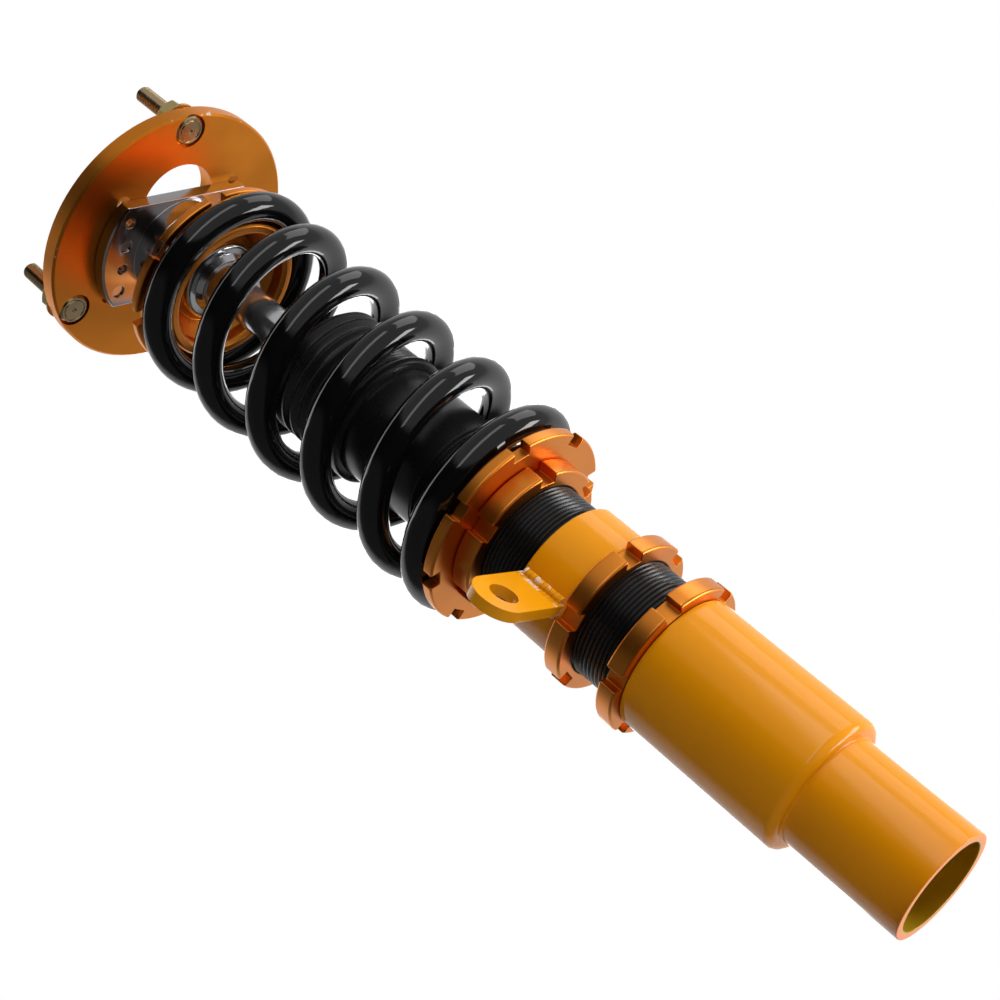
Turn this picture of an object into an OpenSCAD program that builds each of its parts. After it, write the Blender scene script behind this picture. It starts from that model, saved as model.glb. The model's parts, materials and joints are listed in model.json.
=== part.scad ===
// Height-adjustable coilover strut with a slotted camber plate on top.
// +Z runs up the strut; the origin is the centre of the lower tube's open end.
// The camber slots run along Y, and all sizes are in millimetres.

/* [Lower mount tube] */
// Outer radius of the small tube that the knuckle clamps
clamp_r = 24.2; // [22:0.1:26]
// Bore radius of the small tube
clamp_bore_r = 20.5; // [19:0.1:21]
// Length of the small tube
clamp_len = 54.3; // [40:0.1:60]
// Outer radius of the large tube
tube_r = 30; // [29:0.1:32]
// Height of the large tube's top end
tube_top = 131.7; // [120:0.1:135]

/* [Threaded damper body] */
// Crest radius of the fine thread on the damper body
thread_r = 27; // [26.5:0.1:27.5]
// Radial running clearance of everything that turns on the thread
thread_fit = 0.06; // [0.02:0.01:0.1]
// Lower end of the damper body
body_bottom = 78; // [70:1:90]
// Upper end of the damper body
body_top = 303; // [296:1:304]
// Radius of the working bore
bore_r = 22.5; // [21:0.1:23]

/* [Lock rings and bracket] */
// Outer radius of the lock rings
ring_r = 34.8; // [33:0.1:36]
// Thickness of the bottom and middle lock rings
ring_h = 8.4; // [7:0.1:9]
// Number of spanner notches round a lock ring
ring_notches = 6; // [4:1:8]
// Width of a spanner notch
notch_w = 7.6; // [5:0.1:9]
// Depth of a lock ring's notches
notch_depth = 4.6; // [3:0.1:5]
// Lower face of the middle lock ring
mid_ring_z = 160.1; // [156:0.1:164]
// Height of the bracket sleeve above the middle ring
sleeve_h = 24.6; // [20:0.1:26]
// Radius that the tip of the bracket tab reaches
tab_reach = 69.5; // [60:0.5:72]
// Height of the bracket tab
tab_w = 23.6; // [20:0.1:24]
// Thickness of the bracket tab
tab_t = 5; // [4:0.1:6]
// Distance of the hole in the bracket tab from the strut's axis
tab_hole_at = 55.3; // [50:0.1:58]
// Radius of the hole in the bracket tab
tab_hole_r = 6; // [4:0.1:7]
// Angle of the bracket tab round the strut
tab_angle = 15.5; // [0:0.5:40]

/* [Spring and seats] */
// Upper face of the lower spring seat
seat_low = 227; // [224:0.1:230]
// Lower face of the upper spring seat
seat_high = 418.9; // [414:0.1:422]
// Outer radius of both spring seats
seat_r = 46; // [44:0.1:48]
// Thickness of the lower seat's rim
seat_t = 5.4; // [4:0.1:6]
// Thickness of the upper seat's rim
hat_t = 4.2; // [3:0.1:5]
// Number of notches round a spring seat
seat_notches = 8; // [6:1:10]
// Mean radius of the coil spring
coil_r = 42.2; // [41.5:0.1:43]
// Diameter of the spring wire
wire_d = 13.2; // [12:0.1:13.4]
// Number of turns of the spring
coil_turns = 6.25; // [5.5:0.05:6.5]
// Angle of the spring's lower tip round the strut
coil_start = 190.5; // [0:0.5:360]
// Radius of the pilots that centre the spring
pilot_r = 34.6; // [33:0.1:34.8]

/* [Rod and boot] */
// Radius of the piston rod
rod_r = 9; // [8:0.1:9.5]
// Radius of the rod's threaded neck
neck_r = 7; // [6:0.1:7.5]
// Height of the shoulder between rod and neck
rod_shoulder = 417.5; // [416:0.1:418]
// Upper end of the rod
rod_top = 479; // [476:0.1:480]
// Outer radius of the dust boot
boot_r = 31; // [30:0.1:32]
// Lower end of the dust boot
boot_low = 300; // [296:0.5:301]
// Upper end of the dust boot
boot_high = 345; // [342:0.5:345]
// Number of ribs at the top of the boot
boot_ribs = 4; // [3:1:5]

/* [Top bearing] */
// Height of the spherical bearing's centre
ball_z = 448.5; // [448:0.1:449]
// Radius of the bearing ball
ball_r = 13; // [12.5:0.1:13.2]
// Half width of the bearing ball
ball_half = 8.5; // [8:0.1:9]
// Radial gap on each side of the bearing liner
ball_fit = 0.06; // [0.03:0.01:0.1]

/* [Camber plate] */
// Radius of the camber plate
plate_r = 64; // [60:0.5:68]
// Lower face of the camber plate
plate_low = 456.8; // [456:0.1:458]
// Upper face of the camber plate
plate_high = 465.3; // [464:0.1:467]
// Half length of the plate's central window
window_half = 39; // [36:0.5:41]
// Half width of the plate's central window
window_r = 19.5; // [19.2:0.1:20.5]
// Half length of an adjusting slot
slot_half = 28; // [25:0.1:29]
// Half width of an adjusting slot
slot_r = 3.4; // [3.3:0.05:3.6]
// Distance of the slots from the centre line
slot_x = 30.8; // [30:0.1:32]
// Pitch of the tapped holes in the slider
hole_pitch = 12; // [11:0.1:12.5]
// Radius of the round slider before its flats are cut
slider_r = 42; // [40:0.1:43]
// Distance of the slider's flats from the centre
slider_flat = 26; // [25:0.1:27]
// Lower face of the slider
slider_low = 450; // [449:0.1:451]
// Radius of the circle that the studs stand on
stud_circle_r = 56; // [54:0.5:57]
// Upper end of the studs
stud_top = 493.5; // [482:0.5:500]

/* [Hidden] */
$fn = 64;
eps = 0.01;
// Thin gap between stacked pieces of different bodies
face_gap = 0.05;
// Radial gap between stacked pieces of one body
slip = 0.03;

anodised = "#C9651B";
painted = "#F2A20C";
black = "#1B1B1D";
steel = "#C8CBD0";
chrome = "#E4E7EA";
zinc = "#C9B45A";
rubber = "#151515";
ptfe = "#5A5148";

ring_angle_low = 4.5;
ring_angle_mid = 18;
ring_angle_perch = 26;
seat_angle = 29;
hat_angle = 31.5;
seat_notch_depth = 5;
on_thread_r = thread_r + thread_fit;
mid_ring_top = mid_ring_z + ring_h;
sleeve_low = mid_ring_top + face_gap;
sleeve_high = sleeve_low + sleeve_h;
perch_low = seat_low - seat_t;
perch_ring_z = 212.3;
perch_pilot_h = 8;
guide_low = 285;
guide_r = bore_r - slip;
seal_low = 295;
seal_r = 14;
gland_top = 309;
base_cap_h = 10;
float_low = 101;
float_h = 12;
piston_low = 196;
piston_h = 20;
stud_rod_r = 6;
shim_h = 1.8;
washer_hub_r = 12.5;
washer_hub_low = 404.5;
washer_disc_r = 19.5;
washer_top = rod_shoulder + 5;
hat_web_top = 427;
collar_top = ball_z - ball_half - face_gap;
spacer_low = ball_z + ball_half + face_gap;
nut_low = 464.5;
nut_h = 15;
nut_flats = 22;
liner_t = 0.9;
liner_half = 6;
race_half = 6.5;
race_r = 16;
race_inner_r = ball_r + 2 * ball_fit + liner_t;
housing_r = 25;
housing_low = ball_z - ball_half;
guide_ring_r = 18.5;
guide_ring_top = 460;
slider_top = plate_low - face_gap;
screw_rows = [-1.5, 0.5];
free_rows = [-0.5, 1.5];
tapped_r = 2.6;
screw_r = 3;
screw_head_r = 5;
screw_head_h = 6;
screw_flats = 5;
washer_t = 1.6;
washer_r = 6.2;
lock_washer_r = 5.1;
screw_tip = slider_low + 1;
washer_low = plate_high + face_gap;
head_low = washer_low + 2 * washer_t;
stud_r = 4.2;
stud_free_r = 3.9;
stud_head_r = 7.2;
stud_head_h = 2.9;
counterbore_r = 8;
flange_nut_r = 9;
flange_nut_h = 8;
flange_nut_flats = 13;

// A turned piece from its half section, given as [radius, height] points
module turned(points) {
  rotate_extrude($fn = 96) polygon(points);
}

// Repeats its children evenly round the axis
module around(count, start = 0) {
  for (i = [0 : count - 1]) rotate([0, 0, start + i * 360 / count]) children();
}

// Spanner notches cut into an outer radius, over a height range
module notches(count, start, outer, depth, low, high) {
  around(count, start)
    translate([outer - depth, -notch_w / 2, low - eps])
      cube([depth + 3, notch_w, high - low + 2 * eps]);
}

// Quarter round of a section corner: centre, radius, start and end angle
function arc(cx, cy, r, from, to, steps = 4) =
  [for (i = [0 : steps]) let (a = from + (to - from) * i / steps) [cx + r * cos(a), cy + r * sin(a)]];

// Hexagonal prism over its width across flats
module hex_prism(flats, h) {
  cylinder(r = flats / sqrt(3), h = h, $fn = 6);
}

// Flat slot outline along Y, half length and half width given
module slot_outline(half, r) {
  square([2 * r, 2 * (half - r)], center = true);
  for (s = [-1, 1]) translate([0, s * (half - r)]) circle(r = r);
}

// Places its children at the given rows of tapped holes
module at_rows(rows) {
  for (sx = [-1, 1], row = rows)
    translate([sx * slot_x, row * hole_pitch, 0]) children();
}

// Places its children at the three studs
module at_studs() {
  around(3, 90) translate([stud_circle_r, 0, 0]) children();
}

// Large tube, radiused shoulder and small clamp tube, turned in one piece
module lower_tube() {
  shoulder = 4;
  inner_low = clamp_len + 3;
  color(painted)
    turned(concat(
      [[clamp_bore_r, 0], [clamp_r, 0], [clamp_r, clamp_len - 0.6], [clamp_r + 0.6, clamp_len]],
      arc(tube_r - shoulder, clamp_len + shoulder, shoulder, -90, 0),
      [[tube_r, tube_top - 0.5], [tube_r - 0.5, tube_top], [on_thread_r, tube_top]],
      [[on_thread_r, inner_low + 6], [clamp_bore_r, inner_low]]
    ));
}

// Notched lock ring that turns on the fine thread
module lock_ring(low, high, angle) {
  bevel = 0.7;
  difference() {
    turned([
      [on_thread_r + bevel, low], [ring_r - bevel, low], [ring_r, low + bevel],
      [ring_r, high - bevel], [ring_r - bevel, high], [on_thread_r + bevel, high],
      [on_thread_r, high - bevel], [on_thread_r, low + bevel]
    ]);
    notches(ring_notches, angle, ring_r, notch_depth, low, high);
  }
}

module bottom_lock_ring() {
  low = tube_top + face_gap;
  color(anodised) lock_ring(low, low + ring_h, ring_angle_low);
}

module mid_lock_ring() {
  color(anodised) lock_ring(mid_ring_z, mid_ring_top, ring_angle_mid);
}

module perch_lock_ring() {
  color(anodised) lock_ring(perch_ring_z, perch_low - face_gap, ring_angle_perch);
}

// Outer tube of the damper, threaded below and plain near its top
module threaded_body() {
  color(black)
    turned([
      [bore_r, body_bottom], [thread_r - 1, body_bottom], [thread_r, body_bottom + 1],
      [thread_r, body_top - 1], [thread_r - 1, body_top], [bore_r, body_top]
    ]);
}

// Plug that closes the gas chamber, with an O-ring groove
module base_cap() {
  low = body_bottom;
  r = bore_r - slip;
  color(steel)
    turned([
      [0, low], [r - 1, low], [r, low + 1], [r, low + 4], [r - 1.5, low + 4],
      [r - 1.5, low + 7], [r, low + 7], [r, low + base_cap_h], [0, low + base_cap_h]
    ]);
}

// Cupped piston that parts the gas from the oil
module floating_piston() {
  low = float_low;
  r = bore_r - thread_fit;
  color(steel)
    turned([
      [0, low + 8], [15, low + 8], [17, low], [r, low], [r, low + 6], [r - 1.8, low + 6],
      [r - 1.8, low + 10], [r, low + 10], [r, low + float_h], [0, low + float_h]
    ]);
}

// Bushed guide that centres the rod at the top of the bore
module rod_guide() {
  bore = rod_r + thread_fit;
  color(steel)
    turned([
      [bore, guide_low], [guide_r - 1, guide_low], [guide_r, guide_low + 1],
      [guide_r, body_top], [seal_r + slip, body_top], [seal_r + slip, seal_low],
      [bore, seal_low]
    ]);
}

// Lipped oil seal that sits in the guide's pocket
module rod_seal() {
  bore = rod_r + thread_fit;
  top = body_top - slip;
  color(rubber)
    turned([
      [bore, seal_low + slip], [seal_r, seal_low + slip], [seal_r, top],
      [bore + 2.5, top], [bore, top - 2.5]
    ]);
}

// Threaded cap that holds guide and seal in the body
module gland_nut() {
  low = body_top + slip;
  color(black)
    difference() {
      turned([
        [rod_r + 1.2, low], [bore_r + 2, low], [bore_r + 2, gland_top - 1],
        [bore_r + 1, gland_top], [rod_r + 2.2, gland_top], [rod_r + 1.2, gland_top - 1]
      ]);
      around(4) translate([18, 0, low + 2]) cylinder(r = 2, h = 10);
    }
}

// Microcellular bump stop with two waists, standing on the gland nut
module bump_stop() {
  low = gland_top + slip;
  r = 17.5;
  waist = 14.5;
  bore = rod_r + 0.5;
  color("#D8C27A")
    turned([
      [bore, low], [r, low], [r, low + 6], [waist, low + 9], [r, low + 12],
      [r, low + 15], [waist - 1, low + 18], [r - 2, low + 21], [r - 3.5, low + 28],
      [bore + 1, low + 28], [bore, low + 26]
    ]);
}

// Ribbed boot: ribs above, a step ring, and a plain collar over the body
module dust_boot() {
  wall = 2.2;
  rib_pitch = 5;
  rib_depth = 2.6;
  ribs_low = boot_high - boot_ribs * rib_pitch - 1;
  collar_r = thread_r + slip;
  ribs = [for (i = [0 : boot_ribs - 1]) let (z = ribs_low + i * rib_pitch) each [
    [boot_r - rib_depth, z], [boot_r - 0.6, z + 1.5],
    [boot_r - 0.6, z + 3.2], [boot_r - rib_depth, z + 4.4]
  ]];
  inside = [for (i = [boot_ribs - 1 : -1 : 0]) let (z = ribs_low + i * rib_pitch) each [
    [boot_r - rib_depth - wall, z + 4.4], [boot_r - 0.6 - wall, z + 3.2],
    [boot_r - 0.6 - wall, z + 1.5], [boot_r - rib_depth - wall, z]
  ]];
  color(rubber)
    turned(concat(
      [[collar_r, boot_low], [boot_r - 1.5, boot_low], [boot_r, boot_low + 1.5]],
      [[boot_r, boot_low + 4.5], [boot_r - 1.4, boot_low + 6], [boot_r - 1.4, ribs_low - 2]],
      ribs,
      [[boot_r - rib_depth, boot_high - 0.8], [boot_r - rib_depth - 0.8, boot_high]],
      [[rod_r + 3, boot_high], [rod_r + 3, boot_high - wall]],
      [[boot_r - rib_depth - wall, boot_high - wall]],
      inside,
      [[boot_r - 1.4 - wall, ribs_low - 2], [boot_r - 1.4 - wall, gland_top + 1]],
      [[collar_r, gland_top]]
    ));
}

// Painted sleeve on the thread, clamped between the rings, that carries the link tab
module bracket_sleeve() {
  bevel = 0.6;
  color(painted)
    turned([
      [on_thread_r, sleeve_low], [tube_r - bevel, sleeve_low],
      [tube_r, sleeve_low + bevel], [tube_r, sleeve_high - bevel],
      [tube_r - bevel, sleeve_high], [on_thread_r, sleeve_high]
    ]);
}

// Round-ended tab with the link hole, saddle-cut and welded onto the sleeve
module link_tab() {
  tab_mid = sleeve_low + 1 + tab_w / 2;
  tip_r = tab_w / 2;
  end_x = tab_reach - tip_r;
  root_x = tube_r - 2;
  weld_r = 2;
  color(painted)
    difference() {
      rotate([0, 0, tab_angle])
        union() {
          translate([0, tab_t / 2, tab_mid])
            rotate([90, 0, 0])
              linear_extrude(tab_t)
                difference() {
                  union() {
                    translate([root_x, -tip_r]) square([end_x - root_x, tab_w]);
                    translate([end_x, 0]) circle(r = tip_r);
                  }
                  translate([tab_hole_at, 0]) circle(r = tab_hole_r);
                }
          for (s = [-1, 1])
            translate([tube_r + 0.2, s * (tab_t / 2 + 0.6), sleeve_low + 2.5])
              cylinder(r = weld_r, h = tab_w - 3);
        }
      translate([0, 0, sleeve_low - 1]) cylinder(r = tube_r + slip, h = sleeve_h + 2, $fn = 96);
    }
}

// Threaded lower spring seat with a notched rim and a pilot inside the coil
module spring_perch() {
  pilot_top = seat_low + perch_pilot_h;
  color(anodised)
    difference() {
      turned([
        [on_thread_r + 0.7, perch_low], [seat_r - 0.6, perch_low], [seat_r, perch_low + 0.6],
        [seat_r, seat_low - 0.6], [seat_r - 0.6, seat_low], [pilot_r, seat_low],
        [pilot_r, pilot_top - 1.5], [pilot_r - 1.5, pilot_top], [on_thread_r + 0.7, pilot_top],
        [on_thread_r, pilot_top - 0.7], [on_thread_r, perch_low + 0.7]
      ]);
      notches(seat_notches, seat_angle, seat_r, seat_notch_depth, perch_low, seat_low);
    }
}

// The spring's centre line: closed ends of slow rise, blended into open turns
end_rise = 7.5;
end_flat = 0.64;
end_blend = 0.25;
foot_lift = 4.2;
tip_lift = 3;
coil_low = seat_low + foot_lift;
coil_high = seat_high - tip_lift;
open_rise = (coil_high - coil_low - end_rise * coil_turns) / (coil_turns - 2 * end_flat - end_blend);
coil_rings = 12;
coil_sides = 8;
coil_steps = ceil(coil_turns * coil_rings);
function ease(u) = u <= 0 ? 0 : u >= 1 ? 0.5 + (u - 1) : pow(u, 3) - pow(u, 4) / 2;
function opened(t) = end_blend * ease((t - end_flat) / end_blend);
function coil_z(t) =
  coil_low + end_rise * t
  + open_rise * (opened(t) + opened(coil_turns) - opened(coil_turns - t) - t);
function coil_point(i) =
  let (t = coil_turns * i / coil_steps, a = coil_start + 360 * t)
  [coil_r * cos(a), coil_r * sin(a), coil_z(t)];
function ground(p) = [p[0], p[1], min(max(p[2], seat_low + eps), seat_high - face_gap)];
function coil_ring(i) =
  let (
    t = coil_turns * i / coil_steps,
    a = coil_start + 360 * t,
    rise = (coil_z(t + 0.01) - coil_z(t - 0.01)) / 0.02,
    lead = atan(rise / (2 * PI * coil_r)),
    out = [cos(a), sin(a), 0],
    up = [sin(lead) * sin(a), -sin(lead) * cos(a), cos(lead)],
    c = coil_point(i)
  )
  [for (j = [0 : coil_sides - 1]) let (b = 360 * (j + 0.5) / coil_sides)
    ground(c + wire_d / 2 * (cos(b) * out + sin(b) * up))];
coil_centres = [for (i = [0 : coil_steps]) coil_point(i)];
coil_gap = min([
  for (i = [0 : coil_steps], j = [i + coil_rings / 2 : coil_steps])
    norm(coil_centres[i] - coil_centres[j])
]) - wire_d;
echo(coil_least_gap = coil_gap, coil_open_rise = open_rise + end_rise);

// Spring wire as one tube of triangles, its end turns ground flat on the seats
module coil_spring() {
  rings = [for (i = [0 : coil_steps]) each coil_ring(i)];
  n = coil_sides;
  last = coil_steps * n;
  first_centre = len(rings);
  points = concat(rings, [coil_point(0), coil_point(coil_steps)]);
  side_faces = [for (i = [0 : coil_steps - 1], j = [0 : n - 1])
    let (a = i * n + j, b = i * n + (j + 1) % n, c = a + n, d = b + n)
    each [[a, c, b], [b, c, d]]];
  low_cap = [for (j = [0 : n - 1]) [first_centre, j, (j + 1) % n]];
  high_cap = [for (j = [0 : n - 1]) [first_centre + 1, last + (j + 1) % n, last + j]];
  color(black) polyhedron(points, concat(side_faces, low_cap, high_cap));
}

// Chromed rod: stud end for the piston, full shank, and a threaded neck
module piston_rod() {
  low = piston_low - 12;
  color(chrome)
    turned([
      [0, low], [stud_rod_r - 1, low], [stud_rod_r, low + 1],
      [stud_rod_r, piston_low + piston_h + shim_h], [rod_r, piston_low + piston_h + shim_h],
      [rod_r, rod_shoulder], [neck_r, rod_shoulder], [neck_r, rod_top - 1.5],
      [neck_r - 1, rod_top - 0.4], [neck_r - 3, rod_top], [0, rod_top]
    ]);
}

// Working piston with a band groove and a ring of oil ports
module piston() {
  r = bore_r - thread_fit;
  low = piston_low;
  top = piston_low + piston_h;
  color(steel)
    difference() {
      turned([
        [stud_rod_r + slip, low], [r - 1, low], [r, low + 1], [r, low + 5],
        [r - 1, low + 5], [r - 1, top - 5], [r, top - 5], [r, top - 1], [r - 1, top],
        [stud_rod_r + slip, top]
      ]);
      around(6) translate([14, 0, low - eps]) cylinder(r = 2, h = piston_h + 1);
    }
}

// Shim stacks above and below the piston
module valve_shims() {
  bore = stud_rod_r + slip;
  color(steel)
    for (z = [piston_low - shim_h, piston_low + piston_h])
      turned([[bore, z + 0.02], [18, z + 0.02], [18, z + shim_h - 0.02], [bore, z + shim_h - 0.02]]);
}

// Nut that holds the piston on the rod
module piston_nut() {
  h = 8;
  color(steel)
    translate([0, 0, piston_low - shim_h - h])
      difference() {
        hex_prism(19, h);
        translate([0, 0, -1]) cylinder(r = stud_rod_r + slip, h = h + 2);
      }
}

// Rebound stop ring that meets the guide at full droop
module rebound_stop() {
  bore = rod_r + slip;
  top = guide_low - 1;
  color(rubber)
    turned([[bore, top - 12], [17, top - 12], [17, top - 2], [15, top], [bore, top]]);
}

// Bell-shaped steel washer that strikes the bump stop
module bump_washer() {
  rim = 2;
  color(chrome)
    turned(concat(
      [[rod_r + slip, washer_hub_low], [washer_hub_r - 1, washer_hub_low]],
      [[washer_hub_r, washer_hub_low + 1], [washer_hub_r, rod_shoulder - 2.5]],
      [[washer_hub_r + 2.5, rod_shoulder]],
      arc(washer_disc_r - rim, rod_shoulder + rim, rim, -90, 0),
      [[washer_disc_r, washer_top - 0.5], [washer_disc_r - 0.5, washer_top]],
      [[neck_r + slip, washer_top], [neck_r + slip, rod_shoulder + slip]],
      [[rod_r + slip, rod_shoulder + slip]]
    ));
}

// Upper spring seat: notched rim, pilot ring inside the coil, and a raised web
module top_hat() {
  web_low = washer_top + slip;
  rim_high = seat_high + hat_t;
  pilot_low = 409;
  recess_r = 29;
  bore = neck_r + slip;
  color(anodised)
    difference() {
      turned([
        [bore, web_low], [washer_disc_r + 3, web_low], [recess_r, 416], [recess_r, pilot_low + 1.5],
        [recess_r + 1.5, pilot_low], [pilot_r - 1.2, pilot_low], [pilot_r, pilot_low + 1.2],
        [pilot_r, seat_high], [seat_r - 0.6, seat_high], [seat_r, seat_high + 0.6],
        [seat_r, rim_high - 0.6], [seat_r - 0.6, rim_high], [pilot_r + 2, rim_high],
        [29, hat_web_top - 1], [28, hat_web_top], [bore, hat_web_top]
      ]);
      notches(seat_notches, hat_angle, seat_r, seat_notch_depth, seat_high, rim_high);
    }
}

// Polished collar and cone that carry the ball above the hat
module bearing_collar() {
  bore = neck_r + slip;
  low = hat_web_top + slip;
  r = 21;
  color(chrome)
    turned([
      [bore, low], [r - 0.8, low], [r, low + 0.8], [r, 431.5], [r - 1.5, 433],
      [14, 433.6], [12.5, 435], [9.6, collar_top], [bore, collar_top]
    ]);
}

// Tapered spacer between ball and nut
module upper_spacer() {
  bore = neck_r + slip;
  color(chrome)
    turned([
      [bore, spacer_low], [9.6, spacer_low], [10, 460.5], [11, nut_low - 0.6],
      [10.6, nut_low - slip], [bore, nut_low - slip]
    ]);
}

// Self-locking nut: hexagon below, round collar above
module top_nut() {
  hex_h = 9.5;
  collar_r = 10.4;
  top = nut_low + nut_h;
  color(chrome)
    difference() {
      union() {
        intersection() {
          translate([0, 0, nut_low]) hex_prism(nut_flats, hex_h);
          turned([
            [0, nut_low], [11.2, nut_low], [13, nut_low + 1.2],
            [13, nut_low + hex_h - 1.2], [11.2, nut_low + hex_h], [0, nut_low + hex_h]
          ]);
        }
        turned([
          [0, nut_low + hex_h - 1], [collar_r, nut_low + hex_h - 1], [collar_r, top - 1.2],
          [collar_r - 1.2, top], [0, top]
        ]);
      }
      translate([0, 0, nut_low - 1]) cylinder(r = neck_r + slip, h = nut_h + 2);
      translate([0, 0, top - 4.5]) cylinder(r = neck_r + 1.6, h = 6);
    }
}

// Nylon locking ring inside the nut's collar
module nut_insert() {
  low = nut_low + nut_h - 4.5 + slip;
  color("#2E4C7A")
    turned([
      [neck_r + slip, low], [neck_r + 1.6 - slip, low],
      [neck_r + 1.6 - slip, low + 3.2], [neck_r + slip, low + 3.2]
    ]);
}

// Truncated ball of the spherical bearing
module bearing_ball() {
  color(chrome)
    difference() {
      intersection() {
        translate([0, 0, ball_z]) sphere(r = ball_r);
        translate([0, 0, ball_z - ball_half]) cylinder(r = ball_r + 1, h = 2 * ball_half);
      }
      translate([0, 0, ball_z - ball_half - 1]) cylinder(r = neck_r + ball_fit, h = 2 * ball_half + 2);
    }
}

// Spherical shell of woven liner round the ball
module bearing_liner() {
  color(ptfe)
    difference() {
      intersection() {
        translate([0, 0, ball_z]) sphere(r = ball_r + ball_fit + liner_t);
        translate([0, 0, ball_z - liner_half]) cylinder(r = 20, h = 2 * liner_half);
      }
      translate([0, 0, ball_z]) sphere(r = ball_r + ball_fit);
    }
}

// Outer race, pressed into the slider
module bearing_race() {
  color(steel)
    difference() {
      translate([0, 0, ball_z - race_half]) cylinder(r = race_r, h = 2 * race_half);
      translate([0, 0, ball_z]) sphere(r = race_inner_r);
    }
}

// Split ring that keeps the race in its seat
module retaining_ring() {
  low = ball_z + race_half + slip;
  outer = race_r + 1.2;
  h = 1.5;
  color(steel)
    difference() {
      turned([[race_r - 2.2, low], [outer, low], [outer, low + h], [race_r - 2.2, low + h]]);
      translate([0, -2, low - 1]) cube([outer + 1, 4, h + 2]);
    }
}

// Slider with two flats, tapped rows, bearing housing and guide ring
module camber_slider() {
  seat_bore = race_r + slip;
  lip_r = 15;
  groove_low = ball_z + race_half;
  groove_high = groove_low + 1.6;
  color(steel)
    difference() {
      union() {
        intersection() {
          turned([
            [0, slider_low], [slider_r - 0.8, slider_low], [slider_r, slider_low + 0.8],
            [slider_r, slider_top - 0.6], [slider_r - 0.6, slider_top], [0, slider_top]
          ]);
          translate([-slider_r, -slider_flat, slider_low - 1])
            cube([2 * slider_r, 2 * slider_flat, 10]);
        }
        turned([
          [0, housing_low], [housing_r - 1.2, housing_low], [housing_r, housing_low + 1.2],
          [housing_r, slider_low + 0.5], [0, slider_low + 0.5]
        ]);
        turned([
          [0, slider_top - 1], [guide_ring_r, slider_top - 1], [guide_ring_r, guide_ring_top - 0.6],
          [guide_ring_r - 0.6, guide_ring_top], [0, guide_ring_top]
        ]);
      }
      turned([
        [0, housing_low - 1], [lip_r, housing_low - 1], [lip_r, ball_z - race_half - slip],
        [seat_bore, ball_z - race_half - slip], [seat_bore, groove_low],
        [race_r + 1.3, groove_low], [race_r + 1.3, groove_high], [seat_bore, groove_high],
        [seat_bore, guide_ring_top + 1], [0, guide_ring_top + 1]
      ]);
      at_rows(screw_rows) translate([0, 0, slider_low - 1]) cylinder(r = screw_r + slip, h = 10);
      at_rows(free_rows) translate([0, 0, slider_low - 1]) cylinder(r = tapped_r, h = 10);
    }
}

// Socket-head cap screws that clamp the plate to the slider
module slot_screws() {
  color(steel)
    at_rows(screw_rows)
      difference() {
        union() {
          translate([0, 0, screw_tip]) cylinder(r = screw_r, h = head_low - screw_tip + 0.5);
          translate([0, 0, head_low])
            turned([
              [0, 0], [screw_head_r, 0], [screw_head_r, screw_head_h - 0.6],
              [screw_head_r - 0.6, screw_head_h], [0, screw_head_h]
            ]);
        }
        translate([0, 0, head_low + 2.6]) hex_prism(screw_flats, screw_head_h);
      }
}

// Flat washers and lock washers under the screw heads
module slot_washers() {
  bore = screw_r + slip;
  low = washer_low;
  color(chrome)
    at_rows(screw_rows)
      turned([
        [bore, low], [washer_r - 0.3, low], [washer_r, low + 0.3],
        [washer_r, low + washer_t - 0.3], [washer_r - 0.3, low + washer_t],
        [lock_washer_r, low + washer_t], [lock_washer_r, head_low - 0.02], [bore, head_low - 0.02]
      ]);
}

// Round camber plate: window, two adjusting slots and counterbored stud holes
module camber_plate() {
  bevel = 1;
  color(anodised)
    difference() {
      turned([
        [0, plate_low], [plate_r - bevel, plate_low], [plate_r, plate_low + bevel],
        [plate_r, plate_high - bevel], [plate_r - bevel, plate_high], [0, plate_high]
      ]);
      translate([0, 0, plate_low - 1]) linear_extrude(12) slot_outline(window_half, window_r);
      for (sx = [-1, 1])
        translate([sx * slot_x, 0, plate_low - 1]) linear_extrude(12) slot_outline(slot_half, slot_r);
      at_studs() translate([0, 0, plate_low - 1]) cylinder(r = stud_r + slip, h = 12);
      at_studs() translate([0, 0, plate_low - 1]) cylinder(r = counterbore_r, h = 1 + stud_head_h + slip);
    }
}

// Flat-headed studs pressed through the plate from below
module stud_bolts() {
  head_top = plate_low + stud_head_h;
  nut_top = plate_high + slip + flange_nut_h;
  color(zinc)
    at_studs()
      turned([
        [0, plate_low + 0.1], [stud_head_r - 0.8, plate_low + 0.1], [stud_head_r, plate_low + 0.9],
        [stud_head_r, head_top], [stud_r, head_top], [stud_r, nut_top + 0.2],
        [stud_free_r, nut_top + 0.2], [stud_free_r, stud_top - 1.2], [stud_free_r - 1.2, stud_top],
        [0, stud_top]
      ]);
}

// Flanged nuts run down on the studs
module flange_nuts() {
  low = plate_high + slip;
  hex_low = low + 1.4;
  color(zinc)
    at_studs()
      difference() {
        union() {
          turned([
            [0, low], [flange_nut_r, low], [flange_nut_r, low + 0.9],
            [7.6, low + 2.2], [0, low + 2.2]
          ]);
          intersection() {
            translate([0, 0, hex_low]) hex_prism(flange_nut_flats, low + flange_nut_h - hex_low);
            turned([
              [0, low], [9, low], [9, low + flange_nut_h - 1.8],
              [6.4, low + flange_nut_h], [0, low + flange_nut_h]
            ]);
          }
        }
        translate([0, 0, low - 1]) cylinder(r = stud_r + slip, h = flange_nut_h + 2);
      }
}

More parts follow.
